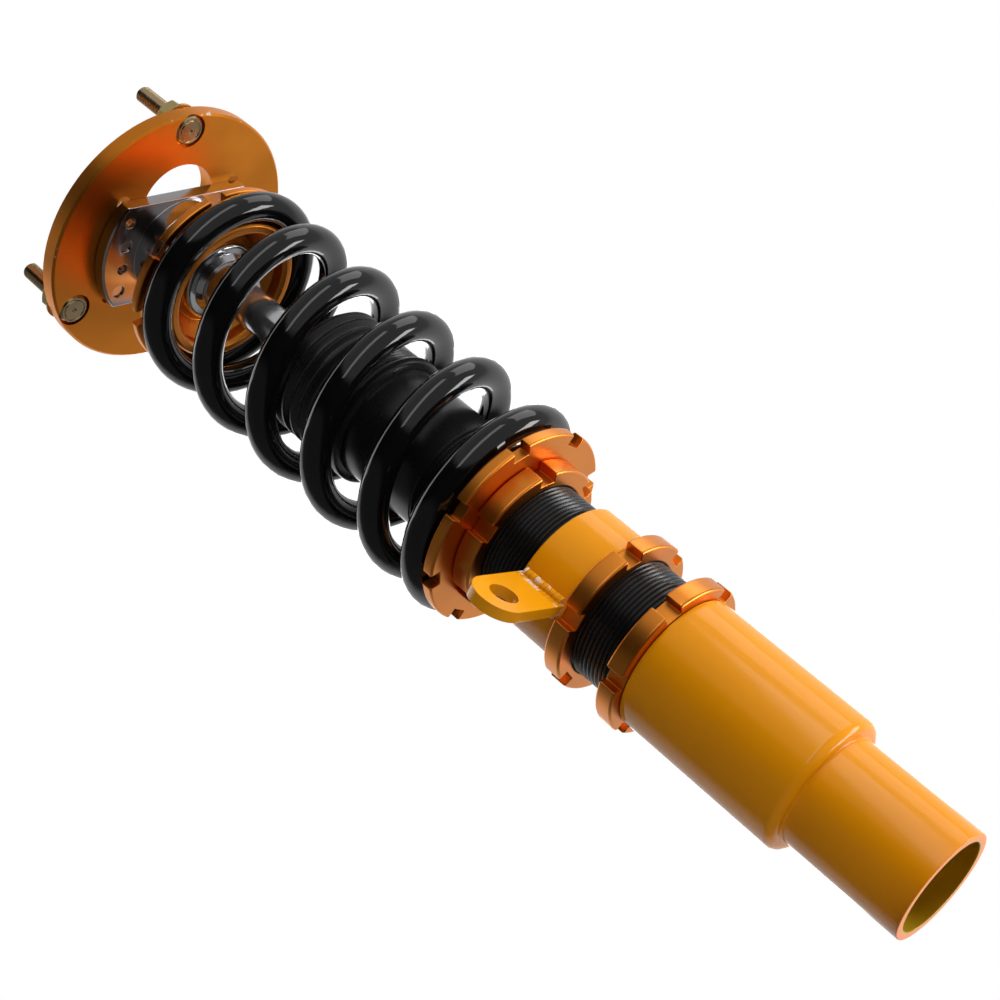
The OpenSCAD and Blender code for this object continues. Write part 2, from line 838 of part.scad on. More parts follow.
lower_tube();
bottom_lock_ring();
threaded_body();
base_cap();
floating_piston();
rod_guide();
rod_seal();
gland_nut();
bump_stop();
dust_boot();
mid_lock_ring();
bracket_sleeve();
link_tab();
perch_lock_ring();
spring_perch();
coil_spring();
piston_rod();
piston();
valve_shims();
piston_nut();
rebound_stop();
bump_washer();
top_hat();
bearing_collar();
upper_spacer();
top_nut();
nut_insert();
bearing_ball();
bearing_liner();
bearing_race();
retaining_ring();
camber_slider();
slot_screws();
slot_washers();
camber_plate();
stud_bolts();
flange_nuts();
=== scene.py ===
import json
import math

import bpy
import numpy as np
from mathutils import Matrix, Vector


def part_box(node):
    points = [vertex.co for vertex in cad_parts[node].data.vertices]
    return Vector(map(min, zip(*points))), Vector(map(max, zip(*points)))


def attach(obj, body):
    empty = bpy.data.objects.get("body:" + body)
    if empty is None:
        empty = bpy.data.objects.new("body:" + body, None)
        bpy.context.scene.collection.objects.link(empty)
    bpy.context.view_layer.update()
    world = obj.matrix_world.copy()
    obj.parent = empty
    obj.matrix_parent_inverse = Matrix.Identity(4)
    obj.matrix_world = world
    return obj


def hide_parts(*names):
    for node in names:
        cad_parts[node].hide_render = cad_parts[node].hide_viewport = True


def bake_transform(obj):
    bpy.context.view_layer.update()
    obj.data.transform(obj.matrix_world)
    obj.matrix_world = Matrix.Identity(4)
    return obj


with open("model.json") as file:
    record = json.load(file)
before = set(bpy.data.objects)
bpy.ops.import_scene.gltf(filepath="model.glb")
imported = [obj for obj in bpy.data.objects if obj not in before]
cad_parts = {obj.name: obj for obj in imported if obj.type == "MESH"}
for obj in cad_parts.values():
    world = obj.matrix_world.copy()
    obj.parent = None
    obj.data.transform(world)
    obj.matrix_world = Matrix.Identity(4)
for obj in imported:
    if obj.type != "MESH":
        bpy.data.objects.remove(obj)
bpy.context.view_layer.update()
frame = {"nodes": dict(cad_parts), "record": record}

scene = bpy.context.scene
scene.view_settings.view_transform = "Standard"


# --- Camera ------------------------------------------------------------------
# A short telephoto view from below the open end of the strut, rolled so that
# the strut runs from the upper left to the lower right of the square frame.
camera_place = Vector((0.5404, 0.4616, -0.1470))
camera_pitch, camera_yaw, camera_roll = 0.494, 0.007, -0.875
strut_turn = math.radians(40.5)
sensor_width, lens_per_frame, nearest_seen = 36, 1.9693, 0.01

cos_pitch, sin_pitch = math.cos(camera_pitch), math.sin(camera_pitch)
cos_yaw, sin_yaw = math.cos(camera_yaw), math.sin(camera_yaw)
forward = Vector((-cos_pitch * cos_yaw, cos_pitch * sin_yaw, sin_pitch))
right = forward.cross(Vector((0, 0, 1))).normalized()
up = right.cross(forward)
cos_roll, sin_roll = math.cos(camera_roll), math.sin(camera_roll)
image_right = cos_roll * right + sin_roll * up
image_up = -sin_roll * right + cos_roll * up
turned = Matrix.Rotation(strut_turn, 3, "Z")
axes = Matrix((turned @ image_right, turned @ image_up, turned @ -forward)).transposed()

camera_data = bpy.data.cameras.new("strut_camera")
camera_data.sensor_width = sensor_width
camera_data.lens = sensor_width * lens_per_frame
camera_data.clip_start = nearest_seen
camera = bpy.data.objects.new("strut_camera", camera_data)
scene.collection.objects.link(camera)
camera.matrix_world = Matrix.Translation(camera_place) @ axes.to_4x4()
scene.camera = camera


# --- Studio ------------------------------------------------------------------
# A pale round floor that fades into a white surround and can't be seen from
# below. Mirrors see a dark room with three pale glows, as gloss black needs.
# Two strip lamps draw the highlights, and four soft ones light the rest.
camera_side = turned @ -forward
across_strut = turned @ (image_up * 0.8 + image_right * 0.6)
down_strut = turned @ (image_right * 0.8 - image_up * 0.6)


def shader_node(tree, kind, **inputs):
    node = tree.nodes.new(kind)
    for name, value in inputs.items():
        node.inputs[name.replace("_", " ")].default_value = value
    return node


def math_of(tree, operation, first, second=None):
    """The result of a Math node; first is a socket, second a socket or a number."""
    node = tree.nodes.new("ShaderNodeMath")
    node.operation = operation
    tree.links.new(first, node.inputs[0])
    if isinstance(second, float):
        node.inputs[1].default_value = second
    elif second:
        tree.links.new(second, node.inputs[1])
    return node.outputs[0]


def mixed_shader(tree, share, first, second):
    mix = tree.nodes.new("ShaderNodeMixShader")
    tree.links.new(share, mix.inputs["Fac"])
    tree.links.new(first.outputs[0], mix.inputs[1])
    tree.links.new(second.outputs[0], mix.inputs[2])
    return mix


def lit_toward(tree, way, direction, dark_at, bright_at, dark, bright):
    """A level that rises smoothly from dark to bright as a ray turns toward a direction."""
    toward = tree.nodes.new("ShaderNodeVectorMath")
    toward.operation = "DOT_PRODUCT"
    toward.inputs[1].default_value = direction.normalized()
    tree.links.new(way, toward.inputs[0])
    level = shader_node(tree, "ShaderNodeMapRange", From_Min=dark_at, From_Max=bright_at,
                        To_Min=dark, To_Max=bright)
    level.interpolation_type = "SMOOTHSTEP"
    tree.links.new(toward.outputs["Value"], level.inputs["Value"])
    return level.outputs["Result"]


world = bpy.data.worlds.new("white_surround")
scene.world = world
world.use_nodes = True
tree = world.node_tree
tree.nodes.clear()
path = tree.nodes.new("ShaderNodeLightPath")
way = tree.nodes.new("ShaderNodeTexCoord").outputs["Generated"]
backdrop_glow = lit_toward(tree, way, turned @ forward, 0.24, 0.58, 0.010, 1.0)
key_glow = lit_toward(tree, way, across_strut, 0.15, 0.30, 0.008, 0.56)
fill_glow = lit_toward(tree, way, -across_strut, 0.32, 0.56, 0.008, 0.14)
brighter_glow = math_of(tree, "MAXIMUM", backdrop_glow, key_glow)
mirrored = shader_node(tree, "ShaderNodeBackground")
tree.links.new(math_of(tree, "MAXIMUM", brighter_glow, fill_glow), mirrored.inputs["Strength"])
room = shader_node(tree, "ShaderNodeBackground", Color=(1, 1, 1, 1))
room_level = lit_toward(tree, way, across_strut, 0.02, 1.0, 0.035, 0.70)
tree.links.new(room_level, room.inputs["Strength"])
backdrop = shader_node(tree, "ShaderNodeBackground", Color=(1, 1, 1, 1), Strength=1.0)
lighting = mixed_shader(tree, path.outputs["Is Glossy Ray"], room, mirrored)
seen = math_of(tree, "MAXIMUM", path.outputs["Is Camera Ray"], path.outputs["Is Transmission Ray"])
surround = mixed_shader(tree, seen, lighting, backdrop)
sky_out = tree.nodes.new("ShaderNodeOutputWorld")
tree.links.new(surround.outputs[0], sky_out.inputs["Surface"])

floor_radius, floor_drop = 1.6, 0.0004
fade_from, fade_to = 0.18, 0.80
bpy.ops.object.select_all(action="DESELECT")
bpy.ops.mesh.primitive_circle_add(vertices=96, radius=floor_radius, fill_type="NGON",
                                  location=(0, 0, -floor_drop))
floor = bpy.context.object
floor.name = "studio_floor"
floor_finish = bpy.data.materials.new("studio_floor_white")
floor_finish.use_nodes = True
tree = floor_finish.node_tree
tree.nodes.clear()
diffuse = shader_node(tree, "ShaderNodeBsdfDiffuse", Color=(0.93, 0.93, 0.93, 1))
clear = tree.nodes.new("ShaderNodeBsdfTransparent")
side = tree.nodes.new("ShaderNodeNewGeometry")
path = tree.nodes.new("ShaderNodeLightPath")
open_ray = math_of(tree, "MAXIMUM", side.outputs["Backfacing"], path.outputs["Is Shadow Ray"])
see_through = math_of(tree, "MAXIMUM", open_ray, path.outputs["Is Glossy Ray"])
away = tree.nodes.new("ShaderNodeVectorMath")
away.operation = "LENGTH"
tree.links.new(tree.nodes.new("ShaderNodeTexCoord").outputs["Object"], away.inputs[0])
fading = shader_node(tree, "ShaderNodeMapRange", From_Min=fade_from, From_Max=fade_to)
tree.links.new(away.outputs["Value"], fading.inputs["Value"])
fade_seen = math_of(tree, "MULTIPLY", fading.outputs["Result"], path.outputs["Is Camera Ray"])
open_share = math_of(tree, "MAXIMUM", see_through, fade_seen)
floor_shader = mixed_shader(tree, open_share, diffuse, clear)
floor_out = tree.nodes.new("ShaderNodeOutputMaterial")
tree.links.new(floor_shader.outputs[0], floor_out.inputs["Surface"])
floor.data.materials.append(floor_finish)


def soft_lamp(name, place, aim, size, watts, along=None):
    """A rectangular lamp that faces a point; its long side can be laid along a direction."""
    lamp_data = bpy.data.lights.new(name, "AREA")
    lamp_data.shape = "RECTANGLE"
    lamp_data.size, lamp_data.size_y = size
    lamp_data.energy = watts
    lamp = bpy.data.objects.new(name, lamp_data)
    scene.collection.objects.link(lamp)
    lamp.location = place
    facing = (Vector(aim) - Vector(place)).normalized()
    lamp.rotation_euler = facing.to_track_quat("-Z", "Y").to_euler()
    if along:
        short_side = facing.cross(along).normalized()
        lamp_axes = Matrix((facing.cross(short_side), short_side, -facing)).transposed()
        lamp.rotation_euler = lamp_axes.to_euler()
    lamp.visible_camera = False
    return lamp


middle = Vector((0, 0, 0.25))
strip = (1.3, 0.28)
low_key = (0.92 * down_strut + 0.36 * across_strut + 0.04 * camera_side).normalized()
low_way = 0.15 * camera_side + 0.16 * down_strut - 0.42 * across_strut
soft_lamp("low_key_lamp", middle + 1.15 * low_key, middle, strip, 9, low_way)
front_key = (0.64 * across_strut + 0.68 * camera_side - 0.30 * down_strut).normalized()
front_way = camera_side - across_strut
soft_lamp("front_key_lamp", middle + 1.1 * front_key, middle, strip, 2.3, front_way)
side_place = middle + 1.05 * across_strut + 0.3 * camera_side
side_key = soft_lamp("side_key_lamp", side_place, middle, (0.9, 0.4), 6, down_strut)
side_key.visible_glossy = False
soft_lamp("top_lamp", (0.1, -0.2, 1.5), middle, (1.0, 1.0), 5)
soft_lamp("back_lamp", (-0.9, -0.8, 0.7), middle, (0.8, 0.8), 3.6)
soft_lamp("side_lamp", (-0.9, 0.9, 0.5), middle, (0.6, 0.9), 2.8)


# --- Lower mount tube and link bracket -----------------------------------------
# Steel tube, swaged down to a small clamp tube, and a steel sleeve with a
# welded tab, all powder coated in a glossy golden yellow. The tube's bore is
# painted a yellower, lighter colour as painted light falling into it, and
# the tab's weld bead has pale peach patches of painted highlight.
nodes = frame["nodes"]
tube_bore, bore_band = 0.0205, 0.0008
sleeve_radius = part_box("bracket_sleeve")[1][0]
weld_reach, weld_band, weld_ripple = sleeve_radius + 0.0022, 0.0030, 0.0021
same_place, flat_enough = 0.000002, math.radians(0.5)
edge_from, smooth_below = math.radians(28), math.radians(40)


def new_group(name, inputs, output):
    group = bpy.data.node_groups.new(name, "ShaderNodeTree")
    for label, value in inputs:
        socket = group.interface.new_socket(label, in_out="INPUT", socket_type="NodeSocketFloat")
        socket.default_value = value
    group.interface.new_socket(output, in_out="OUTPUT", socket_type="NodeSocketFloat")
    return group, group.nodes.new("NodeGroupInput"), group.nodes.new("NodeGroupOutput")


def axis_coordinates(tree, coords):
    """Distance from the strut's axis, and height, as two sockets."""
    split = tree.nodes.new("ShaderNodeSeparateXYZ")
    tree.links.new(coords.outputs["Object"], split.inputs[0])
    flat = tree.nodes.new("ShaderNodeCombineXYZ")
    tree.links.new(split.outputs["X"], flat.inputs["X"])
    tree.links.new(split.outputs["Y"], flat.inputs["Y"])
    reach = tree.nodes.new("ShaderNodeVectorMath")
    reach.operation = "LENGTH"
    tree.links.new(flat.outputs[0], reach.inputs[0])
    return reach.outputs["Value"], split.outputs["Z"]


# Every finish has faint smudges and scratches that change its gloss.
marks_inputs = [("Size", 40.0), ("Low", 0.2), ("High", 0.3)]
handling_marks, g_in, g_out = new_group("handling_marks", marks_inputs, "Roughness")
coords = handling_marks.nodes.new("ShaderNodeTexCoord")
smudge = shader_node(handling_marks, "ShaderNodeTexNoise", Detail=6.0, Roughness=0.62)
handling_marks.links.new(coords.outputs["Object"], smudge.inputs["Vector"])
handling_marks.links.new(g_in.outputs["Size"], smudge.inputs["Scale"])
ramp = shader_node(handling_marks, "ShaderNodeMapRange", From_Min=0.35, From_Max=0.68)
handling_marks.links.new(smudge.outputs["Fac"], ramp.inputs["Value"])
handling_marks.links.new(g_in.outputs["Low"], ramp.inputs["To Min"])
handling_marks.links.new(g_in.outputs["High"], ramp.inputs["To Max"])
handling_marks.links.new(ramp.outputs["Result"], g_out.inputs["Roughness"])


def finish_material(name, colour, shade, metallic, low, high, smudge_size=45.0,
                    ring_spacing=None, ring_depth=0.0, grain_size=None, grain_depth=0.0,
                    coat=0.0, coat_rough=0.05, sheen=0.0, specular=0.5):
    """A finish that drifts between colour and shade, with roughness from low to high."""
    material = bpy.data.materials.new(name)
    material.use_nodes = True
    tree = material.node_tree
    bsdf = tree.nodes["Principled BSDF"]
    coords = tree.nodes.new("ShaderNodeTexCoord")
    drift = shader_node(tree, "ShaderNodeTexNoise", Scale=28.0, Detail=3.0)
    tree.links.new(coords.outputs["Object"], drift.inputs["Vector"])
    tint = tree.nodes.new("ShaderNodeMix")
    tint.data_type = "RGBA"
    tint.inputs["A"].default_value = (*colour, 1)
    tint.inputs["B"].default_value = (*shade, 1)
    tree.links.new(drift.outputs["Fac"], tint.inputs["Factor"])
    tree.links.new(tint.outputs["Result"], bsdf.inputs["Base Color"])
    bsdf.inputs["Metallic"].default_value = metallic
    marks = tree.nodes.new("ShaderNodeGroup")
    marks.node_tree = handling_marks
    marks.inputs["Size"].default_value = smudge_size
    marks.inputs["Low"].default_value = low
    marks.inputs["High"].default_value = high
    tree.links.new(marks.outputs["Roughness"], bsdf.inputs["Roughness"])
    last_normal = None
    if ring_spacing:
        turned_on = tree.nodes.new("ShaderNodeGroup")
        turned_on.node_tree = turning_marks
        turned_on.inputs["Spacing"].default_value = ring_spacing
        bump = shader_node(tree, "ShaderNodeBump", Strength=0.6, Distance=ring_depth)
        tree.links.new(turned_on.outputs["Rings"], bump.inputs["Height"])
        last_normal = bump
    if grain_size:
        grain = shader_node(tree, "ShaderNodeTexNoise", Scale=grain_size, Detail=3.0)
        tree.links.new(coords.outputs["Object"], grain.inputs["Vector"])
        bump = shader_node(tree, "ShaderNodeBump", Strength=0.5, Distance=grain_depth)
        tree.links.new(grain.outputs["Fac"], bump.inputs["Height"])
        if last_normal:
            tree.links.new(last_normal.outputs["Normal"], bump.inputs["Normal"])
        last_normal = bump
    if last_normal:
        tree.links.new(last_normal.outputs["Normal"], bsdf.inputs["Normal"])
    bsdf.inputs["Coat Weight"].default_value = coat
    bsdf.inputs["Coat Roughness"].default_value = coat_rough
    bsdf.inputs["Sheen Weight"].default_value = sheen
    bsdf.inputs["Specular IOR Level"].default_value = specular
    return material


def paint_over(piece, material):
    piece.data.materials.clear()
    piece.data.materials.append(material)


golden_paint = finish_material("golden_paint", (0.82, 0.305, 0.003), (0.77, 0.275, 0.002), 0.0,
                               0.12, 0.18, smudge_size=60, grain_size=420, grain_depth=0.000008,
                               specular=0.28)
tab_paint = finish_material("tab_paint", (0.84, 0.34, 0.004), (0.79, 0.30, 0.003), 0.0,
                            0.14, 0.20, smudge_size=60, grain_size=420, grain_depth=0.000008,
                            specular=0.28)


def edit_all():
    bpy.ops.object.mode_set(mode="EDIT")
    bpy.ops.mesh.select_all(action="SELECT")


def work_on(piece):
    bpy.ops.object.select_all(action="DESELECT")
    piece.select_set(True)
    bpy.context.view_layer.objects.active = piece


def softened(node_name, width):
    """A machined copy of a CAD node: loose faces joined, edges broken by a small bevel."""
    copy = bpy.data.objects.new(node_name + "_machined", nodes[node_name].data.copy())
    scene.collection.objects.link(copy)
    work_on(copy)
    edit_all()
    bpy.ops.mesh.remove_doubles(threshold=same_place)
    bpy.ops.mesh.dissolve_limited(angle_limit=flat_enough)
    bpy.ops.object.mode_set(mode="OBJECT")
    bevel = copy.modifiers.new("broken_edges", "BEVEL")
    bevel.width = width
    bevel.segments = 2
    bevel.limit_method = "ANGLE"
    bevel.angle_limit = edge_from
    bevel.use_clamp_overlap = True
    bpy.ops.object.modifier_apply(modifier=bevel.name)
    bpy.ops.object.shade_smooth_by_angle(angle=smooth_below)
    flat_faces = copy.modifiers.new("flat_faces", "WEIGHTED_NORMAL")
    flat_faces.keep_sharp = True
    flat_faces.weight = 100
    bpy.ops.object.modifier_apply(modifier=flat_faces.name)
    return copy


def body_of_node(node_name):
    for body, members in frame["record"]["behaviour"]["bodies"].items():
        if node_name in members:
            return body
    raise KeyError(node_name)


def put_machined(node_name, material, width):
    piece = softened(node_name, width)
    paint_over(piece, material)
    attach(piece, body_of_node(node_name))
    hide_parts(node_name)


def wear_and_painted_light(material, reach_middle, reach_half, patch_colour, patch_size, patch_from,
                 ripple=None):
    """Patches of a second colour, and weld ripples if asked for, at one distance from the strut's
    axis.
    """
    tree = material.node_tree
    bsdf = tree.nodes["Principled BSDF"]
    coords = tree.nodes.new("ShaderNodeTexCoord")
    reach, height = axis_coordinates(tree, coords)
    band = tree.nodes.new("ShaderNodeMath")
    band.operation = "COMPARE"
    band.inputs[1].default_value = reach_middle
    band.inputs[2].default_value = reach_half
    tree.links.new(reach, band.inputs[0])
    patches = shader_node(tree, "ShaderNodeTexNoise", Scale=patch_size, Detail=4.0)
    tree.links.new(coords.outputs["Object"], patches.inputs["Vector"])
    patch_edge = 0.03
    showing = shader_node(tree, "ShaderNodeMapRange", From_Min=patch_from,
                          From_Max=patch_from + patch_edge)
    tree.links.new(patches.outputs["Fac"], showing.inputs["Value"])
    patched = tree.nodes.new("ShaderNodeMix")
    patched.data_type = "RGBA"
    patched.inputs["B"].default_value = (*patch_colour, 1)
    patch_share = math_of(tree, "MULTIPLY", band.outputs[0], showing.outputs["Result"])
    tree.links.new(patch_share, patched.inputs["Factor"])
    tree.links.new(bsdf.inputs["Base Color"].links[0].from_socket, patched.inputs["A"])
    tree.links.new(patched.outputs["Result"], bsdf.inputs["Base Color"])
    if ripple:
        wave = math_of(tree, "MULTIPLY", height, 2 * math.pi / ripple)
        raised = math_of(tree, "MULTIPLY", math_of(tree, "SINE", wave), band.outputs[0])
        bump = shader_node(tree, "ShaderNodeBump", Strength=0.9, Distance=0.0003)
        tree.links.new(raised, bump.inputs["Height"])
        tree.links.new(bsdf.inputs["Normal"].links[0].from_socket, bump.inputs["Normal"])
        tree.links.new(bump.outputs["Normal"], bsdf.inputs["Normal"])


# The bore's yellower, lighter colour is painted light; the patches' noise never falls below zero,
# so it shows all over the bore.
wear_and_painted_light(golden_paint, tube_bore, bore_band, (0.62, 0.41, 0.020),
             patch_size=60.0, patch_from=-0.10)
# Pale peach patches on the weld bead are a painted highlight; the ripples are bumps.
wear_and_painted_light(tab_paint, weld_reach, weld_band, (0.86, 0.62, 0.46),
             patch_size=150.0, patch_from=0.49, ripple=weld_ripple)
put_machined("lower_tube", golden_paint, 0.0005)
put_machined("bracket_sleeve", golden_paint, 0.0006)
put_machined("link_tab", tab_paint, 0.0005)


# --- Lock rings, spring seats and camber plate -----------------------------------
# Aluminium, turned and milled, then anodised copper orange with a satin sheen.
# The plate's rim has a few knocks that show the bare metal.
turning_marks, g_in, g_out = new_group("turning_marks", [("Spacing", 1500.0)], "Rings")
coords = turning_marks.nodes.new("ShaderNodeTexCoord")
reach, height = axis_coordinates(turning_marks, coords)
swept = turning_marks.nodes.new("ShaderNodeCombineXYZ")
turning_marks.links.new(reach, swept.inputs["X"])
turning_marks.links.new(height, swept.inputs["Z"])
rings = shader_node(turning_marks, "ShaderNodeTexNoise", Detail=2.0)
turning_marks.links.new(swept.outputs[0], rings.inputs["Vector"])
turning_marks.links.new(g_in.outputs["Spacing"], rings.inputs["Scale"])
turning_marks.links.new(rings.outputs["Fac"], g_out.inputs["Rings"])

orange_anodise = finish_material("orange_anodise", (0.86, 0.285, 0.030), (0.78, 0.245, 0.022), 1.0,
                                 0.30, 0.38, smudge_size=22, ring_spacing=2200,
                                 ring_depth=0.000012, coat=0.25, coat_rough=0.28)
for ring_name in ("bottom_lock_ring", "mid_lock_ring", "perch_lock_ring", "spring_perch",
                  "top_hat"):
    put_machined(ring_name, orange_anodise, 0.0004)
plate_anodise = finish_material("plate_anodise", (0.84, 0.275, 0.024), (0.76, 0.24, 0.018), 1.0,
                                0.32, 0.40, smudge_size=18, ring_spacing=1800,
                                ring_depth=0.000012)
plate_radius, rim_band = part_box("camber_plate")[1][0], 0.0007
wear_and_painted_light(plate_anodise, plate_radius, rim_band, (0.92, 0.84, 0.76),
             patch_size=170.0, patch_from=0.69)
put_machined("camber_plate", plate_anodise, 0.0004)


# --- Threaded damper body ----------------------------------------------------------
# Steel tube with a fine external thread cut below and a plain length above,
# in a thin satin black finish.
thread_pitch = 0.0020
thread_low, thread_high = 0.078, 0.2565
crest, root = 0.0270, 0.0261
body_bore = 0.0225
borer_length, borer_middle = 0.4, 0.15
turned_smooth, thread_smooth = math.radians(35), math.radians(24)
black_steel = finish_material("black_steel", (0.0045, 0.0045, 0.005), (0.007, 0.007, 0.0075), 0.0,
                              0.22, 0.30, smudge_size=50, ring_spacing=3000, ring_depth=0.00001)


def polyline_object(name, points):
    """A chain of edges through points, drawn vertex by vertex with extrude."""
    bpy.ops.object.select_all(action="DESELECT")
    bpy.ops.mesh.primitive_plane_add(size=0.001, location=(0, 0, 0))
    line = bpy.context.object
    line.name = name
    edit_all()
    bpy.ops.mesh.merge(type="CENTER")
    bpy.ops.transform.translate(value=points[0])
    for start, end in zip(points, points[1:]):
        step = tuple(to - was for was, to in zip(start, end))
        bpy.ops.mesh.extrude_vertices_move(TRANSFORM_OT_translate={"value": step})
    bpy.ops.object.mode_set(mode="OBJECT")
    return line


def merge_and_face_out(threshold):
    bpy.ops.mesh.select_all(action="SELECT")
    bpy.ops.mesh.remove_doubles(threshold=threshold)
    bpy.ops.mesh.normals_make_consistent(inside=False)
    bpy.ops.object.mode_set(mode="OBJECT")


def spun(name, section, steps=96):
    """A turned piece from a closed or open half section of (radius, height) points."""
    piece = polyline_object(name, [(radius, 0.0, height) for radius, height in section])
    edit_all()
    bpy.ops.mesh.spin(steps=steps, angle=2 * math.pi, center=(0, 0, 0), axis=(0, 0, 1))
    merge_and_face_out(same_place)
    bpy.ops.object.shade_smooth_by_angle(angle=turned_smooth)
    return piece


def wound_up(piece, turns, rise, steps):
    winding = piece.modifiers.new("winding", "SCREW")
    winding.axis = "Z"
    winding.angle = 2 * math.pi * turns
    winding.screw_offset = rise
    winding.steps = winding.render_steps = steps
    winding.use_merge_vertices = False
    bpy.ops.object.modifier_apply(modifier=winding.name)


def cut_thread(name, section, pitch, turns, steps, low, high):
    """A thread: an open one-pitch section wound up round the Z axis and cut off at both ends."""
    piece = polyline_object(name, section)
    wound_up(piece, turns, pitch * turns, steps * turns)
    edit_all()
    merge_and_face_out(2 * same_place)
    for height, keep_above in ((low, True), (high, False)):
        edit_all()
        bpy.ops.mesh.bisect(plane_co=(0, 0, height), plane_no=(0, 0, 1), use_fill=True,
                            clear_inner=keep_above, clear_outer=not keep_above)
        bpy.ops.object.mode_set(mode="OBJECT")
    return piece


thread_turns = int((thread_high - thread_low) / thread_pitch) + 3
thread_base = thread_low - 1.5 * thread_pitch
thread_shape = ((root, 0), (root, 0.12), (crest, 0.45), (crest, 0.67), (root, 1))
section = [(radius, 0, thread_base + share * thread_pitch) for radius, share in thread_shape]
body_thread = cut_thread("body_thread", section, thread_pitch, thread_turns, 64,
                         thread_low, thread_high)
bpy.ops.mesh.primitive_cylinder_add(vertices=96, radius=body_bore, depth=borer_length,
                                    location=(0, 0, borer_middle))
borer = bpy.context.object
bore_cut = body_thread.modifiers.new("bore", "BOOLEAN")
bore_cut.operation = "DIFFERENCE"
bore_cut.object = borer
bore_cut.solver = "EXACT"
bpy.context.view_layer.objects.active = body_thread
bpy.ops.object.modifier_apply(modifier=bore_cut.name)
bpy.data.objects.remove(borer)
work_on(body_thread)
bpy.ops.object.shade_smooth_by_angle(angle=thread_smooth)
paint_over(body_thread, black_steel)
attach(body_thread, "damper")
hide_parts("threaded_body")

body_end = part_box("threaded_body")[1][2]
body_sleeve = spun("body_sleeve", [
    (body_bore, thread_high), (crest - 0.0006, thread_high), (crest, thread_high + 0.0008),
    (crest, body_end - 0.001), (crest - 0.001, body_end), (body_bore, body_end),
    (body_bore, thread_high)])
paint_over(body_sleeve, black_steel)
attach(body_sleeve, "damper")


# --- Coil spring --------------------------------------------------------------------
# Round steel wire, wound right-handed with closed ends that are ground flat on
# the seats, and powder coated in gloss black.
spring_coat = finish_material("spring_coat", (0.0022, 0.0022, 0.0026), (0.0034, 0.0034, 0.0038),
                              0.0, 0.05, 0.09, smudge_size=26)
seat_low, seat_high = 0.227, 0.4189
coil_radius, wire_radius = 0.0422, 0.0066
coil_turns, coil_start = 6.25, math.radians(190.5)
end_rise, end_flat, end_blend = 0.0075, 0.64, 0.25
foot_lift, tip_lift = 0.0042, 0.003
foot_gap, tip_gap = 0.00001, 0.00005
wire_sides, rings_a_turn = 20, 56
coil_low, coil_high = seat_low + foot_lift, seat_high - tip_lift
open_turns = coil_turns - 2 * end_flat - end_blend
open_rise = (coil_high - coil_low - end_rise * coil_turns) / open_turns


def opened(turn):
    """How many turns of open pitch lie below a turn, counted from one closed end."""
    blended = (turn - end_flat) / end_blend
    if blended <= 0:
        return 0.0
    if blended < 1:
        return end_blend * (blended ** 3 - blended ** 4 / 2)
    return end_blend * (blended - 0.5)


def coil_height(turn):
    open_below = opened(turn) + opened(coil_turns) - opened(coil_turns - turn) - turn
    return coil_low + end_rise * turn + open_rise * open_below


bpy.ops.object.select_all(action="DESELECT")
bpy.ops.mesh.primitive_circle_add(vertices=wire_sides, radius=wire_radius,
                                  location=(coil_radius, 0, 0), rotation=(math.pi / 2, 0, 0))
spring = bpy.context.object
spring.name = "wound_spring"
bpy.ops.object.transform_apply(location=True, rotation=True, scale=True)
steps_wound = int(coil_turns * rings_a_turn)
wound_up(spring, coil_turns, 1.0, steps_wound)
points = np.array([v.co for v in spring.data.vertices])
order = np.arange(len(points)).reshape(steps_wound + 1, wire_sides)
share = np.zeros(len(points))
still_ends, small_turn = 0.055, 0.01
for ring in range(steps_wound + 1):
    turn = coil_turns * ring / steps_wound
    rise = (coil_height(turn + small_turn) - coil_height(turn - small_turn)) / (2 * small_turn)
    lead = math.atan(rise / (2 * math.pi * coil_radius))
    facing = coil_start + 2 * math.pi * turn
    out = np.array([math.cos(facing), math.sin(facing), 0])
    lift = np.array([math.sin(lead) * out[1], -math.sin(lead) * out[0], math.cos(lead)])
    centre = out * coil_radius + np.array([0, 0, coil_height(turn)])
    for wire_side in range(wire_sides):
        around = 2 * math.pi * wire_side / wire_sides
        place = centre + wire_radius * (math.cos(around) * out + math.sin(around) * lift)
        place[2] = min(max(place[2], seat_low + foot_gap), seat_high - tip_gap)
        points[order[ring, wire_side]] = place
    level = (coil_height(turn) - coil_low) / (coil_high - coil_low)
    share[order[ring]] = min(max((level - still_ends) / (1 - 2 * still_ends), 0.0), 1.0)
spring.data.vertices.foreach_set("co", points.ravel())
spring.data.update()
edit_all()
bpy.ops.mesh.fill_holes(sides=0)
bpy.ops.mesh.select_all(action="SELECT")
bpy.ops.mesh.normals_make_consistent(inside=False)
bpy.ops.object.mode_set(mode="OBJECT")
bpy.ops.object.shade_smooth_by_angle(angle=math.radians(40))
paint_over(spring, spring_coat)
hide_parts("coil_spring")
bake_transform(spring)


# --- Dust boot -------------------------------------------------------------------------
# Moulded rubber boot over the bump stop: a bead and four fine ridges at the
# bottom, a plain middle, four soft ribs and a rolled top lip round the rod.
boot_rubber = finish_material("boot_rubber", (0.004, 0.004, 0.0045), (0.007, 0.007, 0.007), 0.0,
                              0.22, 0.32, smudge_size=40, grain_size=700, grain_depth=0.00002,
                              sheen=0.05)
boot_low, boot_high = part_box("dust_boot")[0][2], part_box("dust_boot")[1][2]
bead_radius, boot_radius, boot_bore, rod_gap, wall = 0.031, 0.0296, 0.0271, 0.012, 0.0022
outline = [(boot_bore, boot_low), (boot_radius, boot_low), (0.0306, boot_low + 0.0006),
           (bead_radius, boot_low + 0.002), (bead_radius, boot_low + 0.0035),
           (0.0306, boot_low + 0.0048), (boot_radius, boot_low + 0.0056)]
ridge_count, ridge_pitch, ridge_first = 4, 0.0017, 0.0064
ridge_root, ridge_crest = 0.0290, 0.0295
